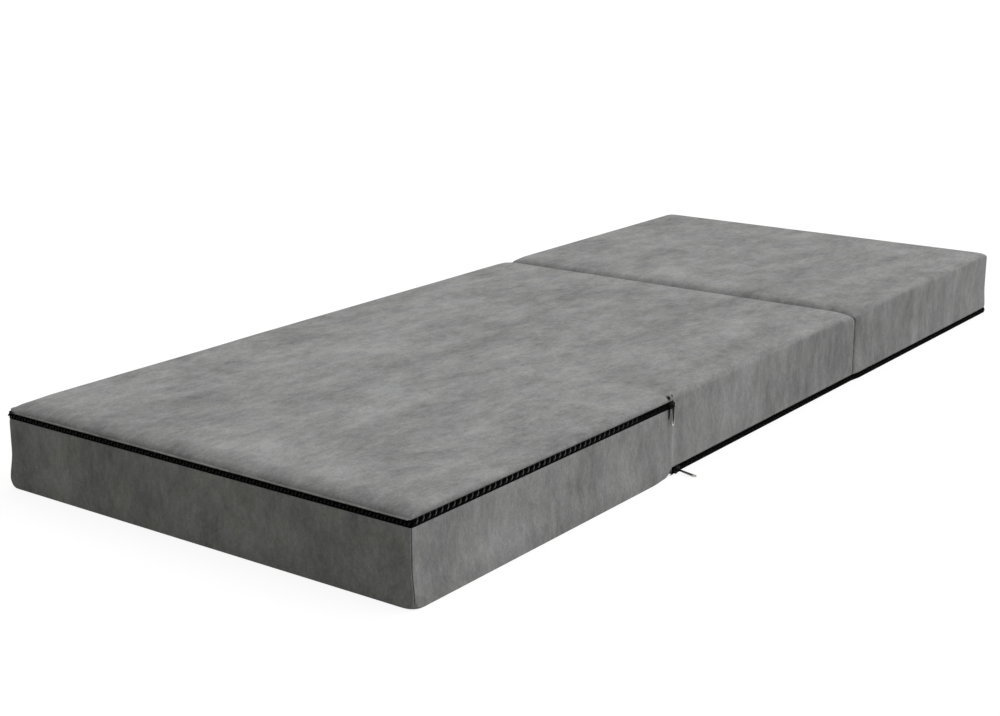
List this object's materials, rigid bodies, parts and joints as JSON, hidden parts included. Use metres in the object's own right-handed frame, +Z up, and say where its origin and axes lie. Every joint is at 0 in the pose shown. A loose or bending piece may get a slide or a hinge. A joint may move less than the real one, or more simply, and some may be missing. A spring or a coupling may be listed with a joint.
{
  "type": "folding mattress",
  "caption": "Three-section folding foam mattress in a grey pile-cloth cover, with a zip round the foot section's top edge and one round the base of the other two.",
  "frame": {"origin": "centre of the underside, midway between the long sides and midway between the foot end and the head end", "axes": "+Y along the length from the foot end to the head end, +X towards the side with the zip sliders, +Z up"},
  "size_m": [0.8402, 2.004, 0.132],
  "materials": {
    "pile_cloth": "matt brushed pile",
    "lining_cloth": "matt plain weave",
    "open_foam": "matt open-cell foam",
    "zip_tape": "matt woven tape",
    "zip_teeth": "satin moulded nylon",
    "enamelled_metal": "satin black enamel",
    "plated_metal": "bright nickel plate"
  },
  "bodies": {
    "middle_section": {"middle_foam": "open_foam", "middle_cover": "pile_cloth", "middle_foot_end_panel": "lining_cloth", "middle_head_end_panel": "lining_cloth", "middle_underside": "pile_cloth", "main_zip_upper_tape_right": "zip_tape", "main_zip_lower_tape_right": "zip_tape", "main_zip_teeth_right": "zip_teeth", "main_zip_end_stop_right": "enamelled_metal", "main_zip_upper_tape_left": "zip_tape", "main_zip_lower_tape_left": "zip_tape", "main_zip_teeth_left": "zip_teeth", "main_zip_end_stop_left": "enamelled_metal"},
    "foot_section": {"foot_foam": "open_foam", "foot_top_panel": "pile_cloth", "foot_tray": "pile_cloth", "foot_fold_end_panel": "lining_cloth", "foot_zip_upper_tape": "zip_tape", "foot_zip_lower_tape": "zip_tape", "foot_zip_teeth": "zip_teeth", "foot_zip_end_stop_right": "enamelled_metal", "foot_zip_end_stop_left": "enamelled_metal"},
    "head_section": {"head_foam": "open_foam", "head_cover": "pile_cloth", "head_fold_end_panel": "lining_cloth", "head_underside": "pile_cloth", "head_zip_upper_tape": "zip_tape", "head_zip_lower_tape": "zip_tape", "head_zip_teeth": "zip_teeth"},
    "foot_slider": {"foot_zip_slider": "enamelled_metal"},
    "foot_pull": {"foot_zip_pull": "plated_metal"},
    "main_slider": {"main_zip_slider": "enamelled_metal"},
    "main_pull": {"main_zip_pull": "plated_metal"}
  },
  "joints": [
    {"name": "foot_fold", "type": "hinge", "parent": "middle_section", "child": "foot_section", "pos_m": [0, -0.344, 0.1322], "axis": [-1, 0, 0], "range_deg": [0, 180]},
    {"name": "head_fold", "type": "hinge", "parent": "middle_section", "child": "head_section", "pos_m": [0, 0.322, -0.0002], "axis": [-1, 0, 0], "range_deg": [0, 180]},
    {"name": "foot_zip_run", "type": "slide", "parent": "foot_section", "child": "foot_slider", "axis": [0, -1, 0], "range_m": [0, 0.61]},
    {"name": "foot_pull_swing", "type": "hinge", "parent": "foot_slider", "child": "foot_pull", "pos_m": [0.4059, -0.3557, 0.118], "axis": [0, -1, 0], "range_deg": [-8, 165]},
    {"name": "main_zip_run", "type": "slide", "parent": "middle_section", "child": "main_slider", "axis": [0, 1, 0], "range_m": [0, 0.64]},
    {"name": "main_pull_swing", "type": "hinge", "parent": "main_slider", "child": "main_pull", "pos_m": [0.4059, -0.3323, 0.006], "axis": [0, -1, 0], "range_deg": [-80, 100]}
  ]
}
